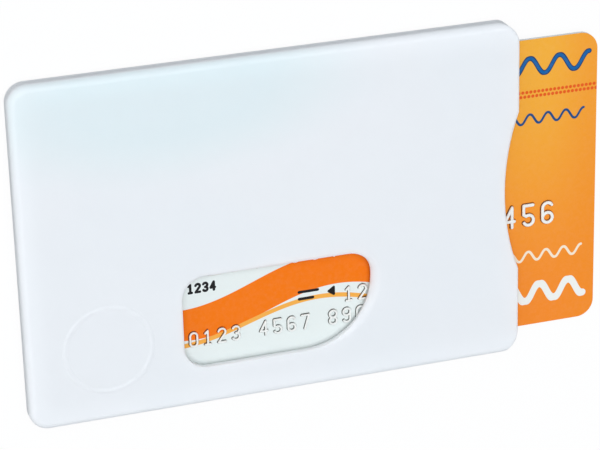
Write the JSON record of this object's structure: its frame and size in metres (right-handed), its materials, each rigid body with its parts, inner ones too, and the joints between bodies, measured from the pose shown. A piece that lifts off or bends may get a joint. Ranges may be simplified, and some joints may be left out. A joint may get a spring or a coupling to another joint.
{
  "type": "rfid card sleeve",
  "caption": "Flat hard plastic sleeve for one payment card, with a thumb window, a notched mouth and foil shields; the card slides out of the open end.",
  "frame": {"origin": "centre of the sleeve's back face, on which it lies", "axes": "+X along the sleeve towards its open mouth, +Y across it, away from the thumb window, +Z through the front face"},
  "size_m": [0.105, 0.062, 0.0041],
  "materials": {
    "white_plastic": "satin",
    "shield_foil": "satin",
    "adhesive_film": "clear tacky film",
    "card_print": "printed, smooth gloss",
    "card_sheet": "smooth",
    "card_back_film": "smooth gloss",
    "antenna_wire": "drawn",
    "contact_gold": "satin",
    "carrier_tape": "woven glass and resin",
    "silicon": "polished",
    "chip_resin": "smooth",
    "silver_joint": "matte",
    "stripe_black": "satin",
    "panel_white": "matte",
    "tipping_white": "satin foil"
  },
  "bodies": {
    "sleeve": {"front_shell": "white_plastic", "back_shell": "white_plastic", "front_adhesive": "adhesive_film", "front_shield": "shield_foil", "back_adhesive": "adhesive_film", "back_shield": "shield_foil"},
    "card": {"front_overlay": "card_print", "front_core_sheet": "card_sheet", "antenna_inlay": "card_sheet", "antenna_coil": "antenna_wire", "back_core_sheet": "card_sheet", "back_overlay": "card_back_film", "chip_contacts": "contact_gold", "chip_carrier": "carrier_tape", "chip_die": "silicon", "chip_resin": "chip_resin", "chip_joints": "silver_joint", "magnetic_stripe": "stripe_black", "signature_panel": "panel_white", "account_tipping": "tipping_white", "date_tipping": "tipping_white", "line_tipping": "tipping_white"}
  },
  "joints": [
    {"name": "card_slide", "type": "slide", "parent": "sleeve", "child": "card", "axis": [1, 0, 0], "range_m": [-0.01605, 0.074]}
  ]
}
